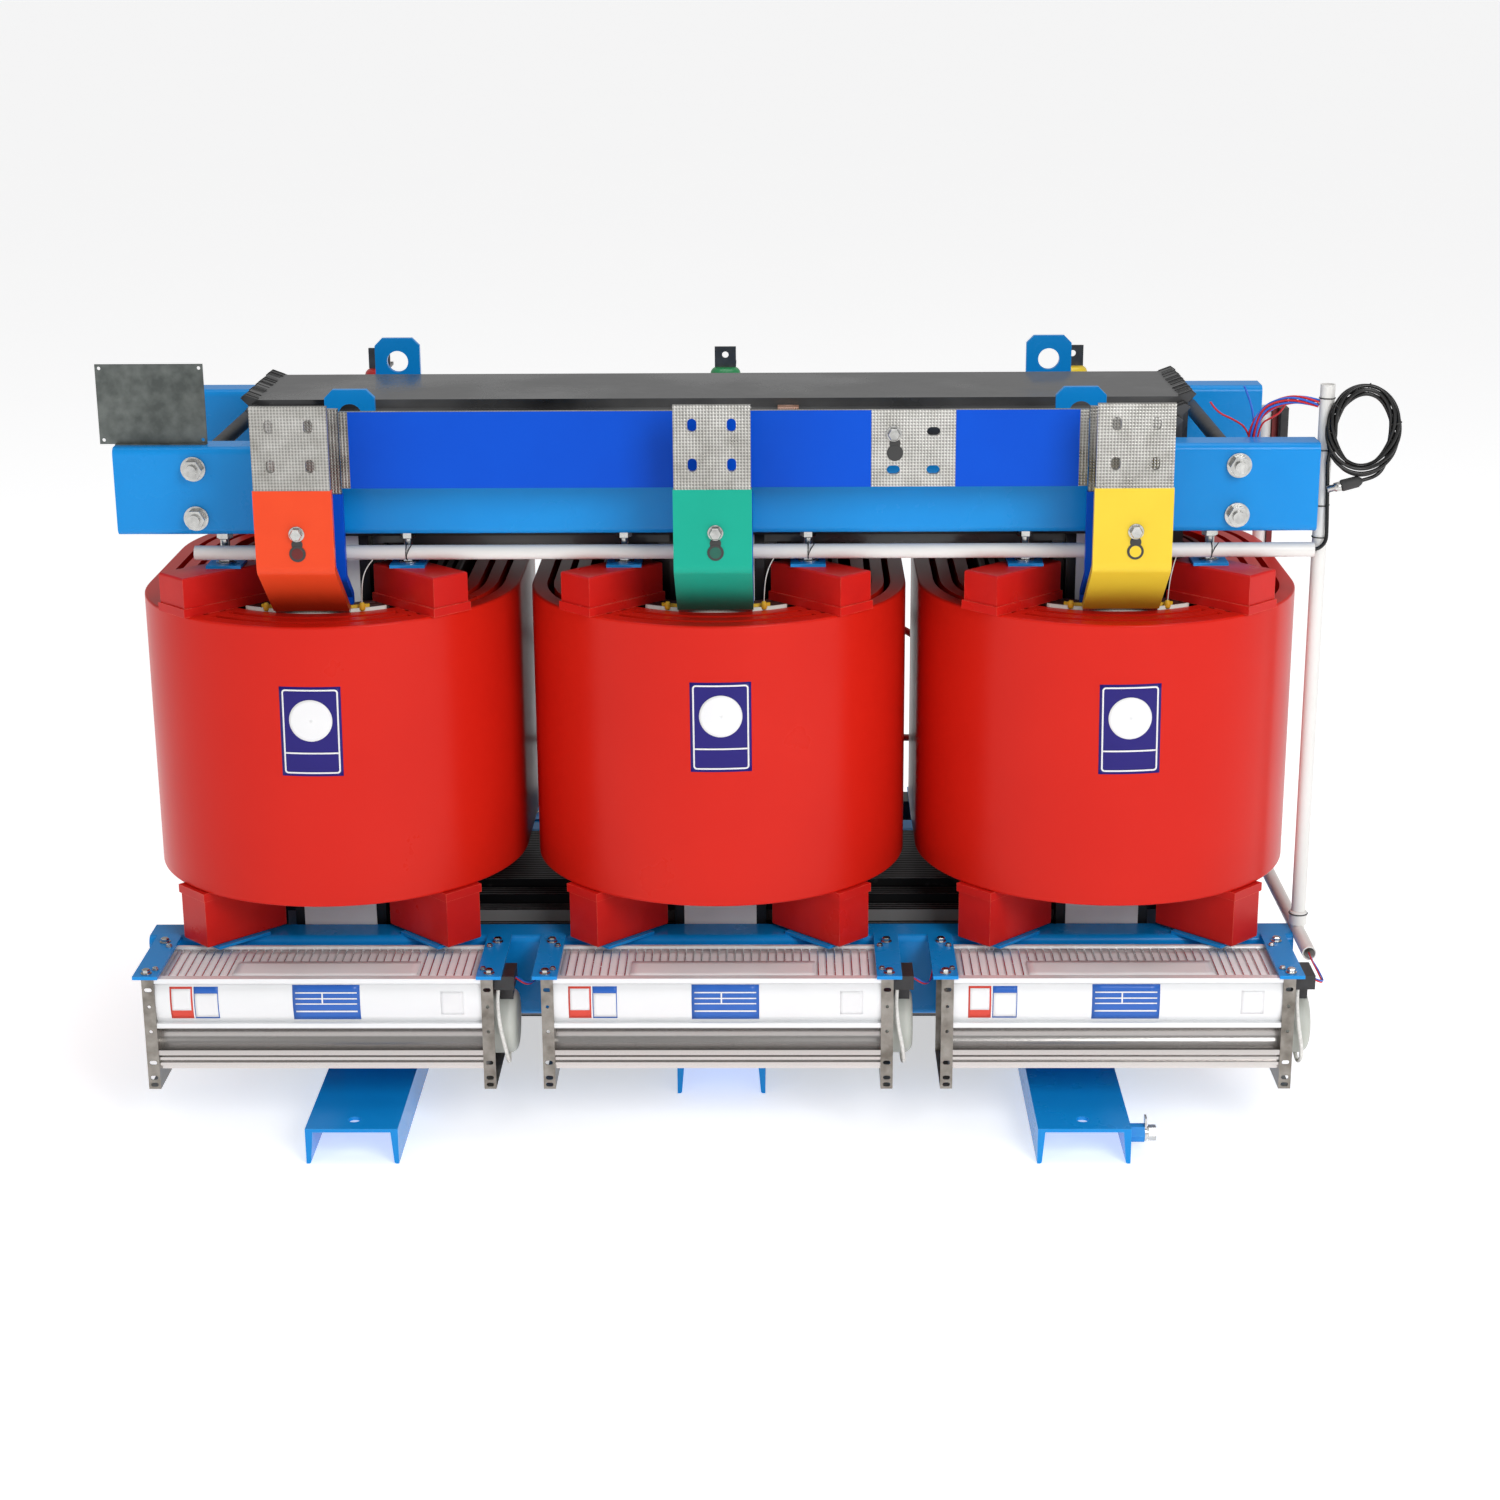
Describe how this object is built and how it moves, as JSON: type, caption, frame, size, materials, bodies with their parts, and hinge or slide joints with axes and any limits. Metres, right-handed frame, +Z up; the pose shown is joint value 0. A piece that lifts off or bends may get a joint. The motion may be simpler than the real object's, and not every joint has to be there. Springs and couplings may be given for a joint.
{
  "type": "power transformer",
  "caption": "Dry-type three-phase power transformer with red cast-resin coils, blue clamps and channels, terminal bars and cross-flow fans beneath the coils.",
  "frame": {"origin": "on the ground under the middle of the core and of the base", "axes": "+Z up, X along the core, -Y towards the low-voltage side"},
  "size_m": [2.1998, 1.19, 1.333],
  "materials": {
    "blue_paint": "gloss blue enamel",
    "galvanised": "galvanised sheet",
    "black_cable": "black cable sheath",
    "black_plastic": "moulded",
    "dark_board": "laminated insulating board",
    "white_pipe": "white rigid pipe",
    "core_varnish": "black core varnish, glossy",
    "zinc_steel": "zinc plated",
    "fan_guard_wire": "plated wire and white sheet",
    "fan_casing": "pale coated aluminium",
    "motor_grey": "grey green enamel",
    "red_blue_wire": "insulated wires",
    "red_resin": "cast red resin, satin gloss",
    "green_insulator": "cast resin",
    "red_insulator": "cast resin",
    "yellow_insulator": "cast resin",
    "red_sleeve": "dark red shrink sleeve",
    "white_board": "white insulating board",
    "tinned_bar": "tinned copper, dimpled",
    "dark_resin": "dark impregnated foil winding",
    "green_sleeve": "satin shrink sleeve",
    "orange_sleeve": "satin shrink sleeve",
    "yellow_sleeve": "satin shrink sleeve",
    "white_lead": "woven white sleeve over a thin cable",
    "blue_sleeve": "satin shrink sleeve",
    "black_sleeve": "black shrink sleeve",
    "brass": "turned brass"
  },
  "bodies": {
    "root": {"base_channel_centre": "blue_paint", "base_channel_left": "blue_paint", "base_channel_right": "blue_paint", "blank_plate": "galvanised", "block_plates": "blue_paint", "cable_coil": "black_cable", "cable_lead": "black_cable", "cable_plug": "black_plastic", "clamp_boards": "dark_board", "clamp_feet": "blue_paint", "conduit_tees": "white_pipe", "core_bottom_yoke": "core_varnish", "core_limbs": "core_varnish", "core_top_yoke": "core_varnish", "earth_terminal": "zinc_steel", "fan_arms": "blue_paint", "fan_end_plates": "zinc_steel", "fan_guards": "fan_guard_wire", "fan_housings": "fan_casing", "fan_motors": "motor_grey", "fan_wires": "red_blue_wire", "hv_coil_centre": "red_resin", "hv_coil_left": "red_resin", "hv_coil_right": "red_resin", "hv_insulator_centre": "green_insulator", "hv_insulator_left": "red_insulator", "hv_insulator_right": "yellow_insulator", "hv_links": "red_sleeve", "hv_tabs": "zinc_steel", "lifting_lugs": "blue_paint", "limb_boards": "white_board", "lower_clamp_front": "blue_paint", "lower_clamp_rear": "blue_paint", "lower_support_blocks": "red_resin", "lv_bars": "tinned_bar", "lv_coils": "dark_resin", "lv_sleeve_centre": "green_sleeve", "lv_sleeve_left": "orange_sleeve", "lv_sleeve_right": "yellow_sleeve", "motor_boxes": "black_plastic", "motor_leads": "white_lead", "neutral_bar": "tinned_bar", "neutral_risers": "tinned_bar", "neutral_sleeves": "blue_sleeve", "press_studs": "zinc_steel", "rear_box": "black_plastic", "rear_rail": "red_sleeve", "riser_sleeves": "blue_sleeve", "rod_sleeves": "black_sleeve", "sensor_conduit": "white_pipe", "side_conduit": "white_pipe", "tap_terminals": "brass", "tie_rods": "zinc_steel", "upper_clamp_front": "blue_paint", "upper_clamp_rear": "blue_paint", "upper_press_blocks": "red_resin", "upright_conduits": "white_pipe", "wire_bundle": "red_blue_wire", "yoke_pads": "dark_board"}
  },
  "joints": []
}
